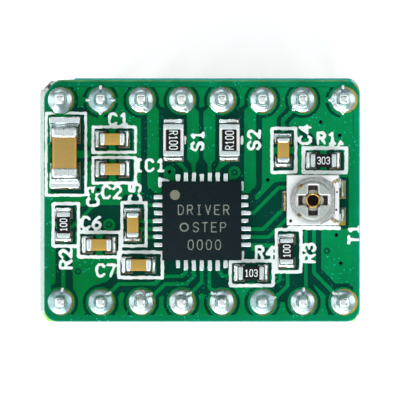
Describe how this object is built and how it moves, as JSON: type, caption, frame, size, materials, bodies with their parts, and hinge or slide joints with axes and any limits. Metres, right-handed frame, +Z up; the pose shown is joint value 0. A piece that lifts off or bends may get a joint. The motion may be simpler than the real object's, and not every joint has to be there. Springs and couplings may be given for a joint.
{
  "type": "stepper driver module",
  "caption": "Plug-in motor driver board: leadless driver chip, chip capacitors and resistors, current trimmer that turns, and two rows of header pins underneath.",
  "frame": {"origin": "midway between the two pin rows, level with the tips of the pins", "axes": "+Z up through the board to the component side, +X along the pin rows towards the trimmer, +Y from row b to row a"},
  "size_m": [0.0201, 0.0153, 0.0118],
  "materials": {
    "board": "green solder mask over glass laminate",
    "housing": "matt moulded",
    "pin": "bright tin plate over brass",
    "solder": "bright solder",
    "driver_body": "matt moulding compound",
    "thermal_pad": "plated copper",
    "capacitor_body": "fired ceramic between tinned ends",
    "resistor_body": "glazed, between tinned ends",
    "ceramic": "unglazed alumina",
    "track": "printed resistance ink",
    "rotor": "satin stainless steel",
    "eyelet": "gold flash over brass",
    "terminal": "tinned"
  },
  "bodies": {
    "module": {"circuit_board": "board", "header_housing_a": "housing", "header_housing_b": "housing", "pin_a1": "pin", "pin_a2": "pin", "pin_a3": "pin", "pin_a4": "pin", "pin_a5": "pin", "pin_a6": "pin", "pin_a7": "pin", "pin_a8": "pin", "pin_b1": "pin", "pin_b2": "pin", "pin_b3": "pin", "pin_b4": "pin", "pin_b5": "pin", "pin_b6": "pin", "pin_b7": "pin", "pin_b8": "pin", "solder_a1": "solder", "solder_a2": "solder", "solder_a3": "solder", "solder_a4": "solder", "solder_a5": "solder", "solder_a6": "solder", "solder_a7": "solder", "solder_a8": "solder", "solder_b1": "solder", "solder_b2": "solder", "solder_b3": "solder", "solder_b4": "solder", "solder_b5": "solder", "solder_b6": "solder", "solder_b7": "solder", "solder_b8": "solder", "driver_body": "driver_body", "driver_thermal_pad": "thermal_pad", "bulk_capacitor": "capacitor_body", "capacitor_c1": "capacitor_body", "capacitor_c2": "capacitor_body", "capacitor_c4": "capacitor_body", "capacitor_c5": "capacitor_body", "capacitor_c6": "capacitor_body", "capacitor_c7": "capacitor_body", "resistor_r1": "resistor_body", "resistor_r2": "resistor_body", "resistor_r3": "resistor_body", "resistor_r4": "resistor_body", "sense_resistor_s1": "resistor_body", "sense_resistor_s2": "resistor_body", "trimmer_base": "ceramic", "trimmer_track": "track", "trimmer_eyelet": "eyelet", "trimmer_wiper_terminal": "eyelet", "trimmer_end_terminal_a": "terminal", "trimmer_end_terminal_b": "terminal"},
    "rotor": {"trimmer_rotor": "rotor", "trimmer_wiper": "rotor"}
  },
  "joints": [
    {"name": "trimmer_adjust", "type": "hinge", "parent": "module", "child": "rotor", "pos_m": [0.00697, 0.00004, 0.0112], "axis": [0, 0, 1], "range_deg": [-130, 130]}
  ]
}
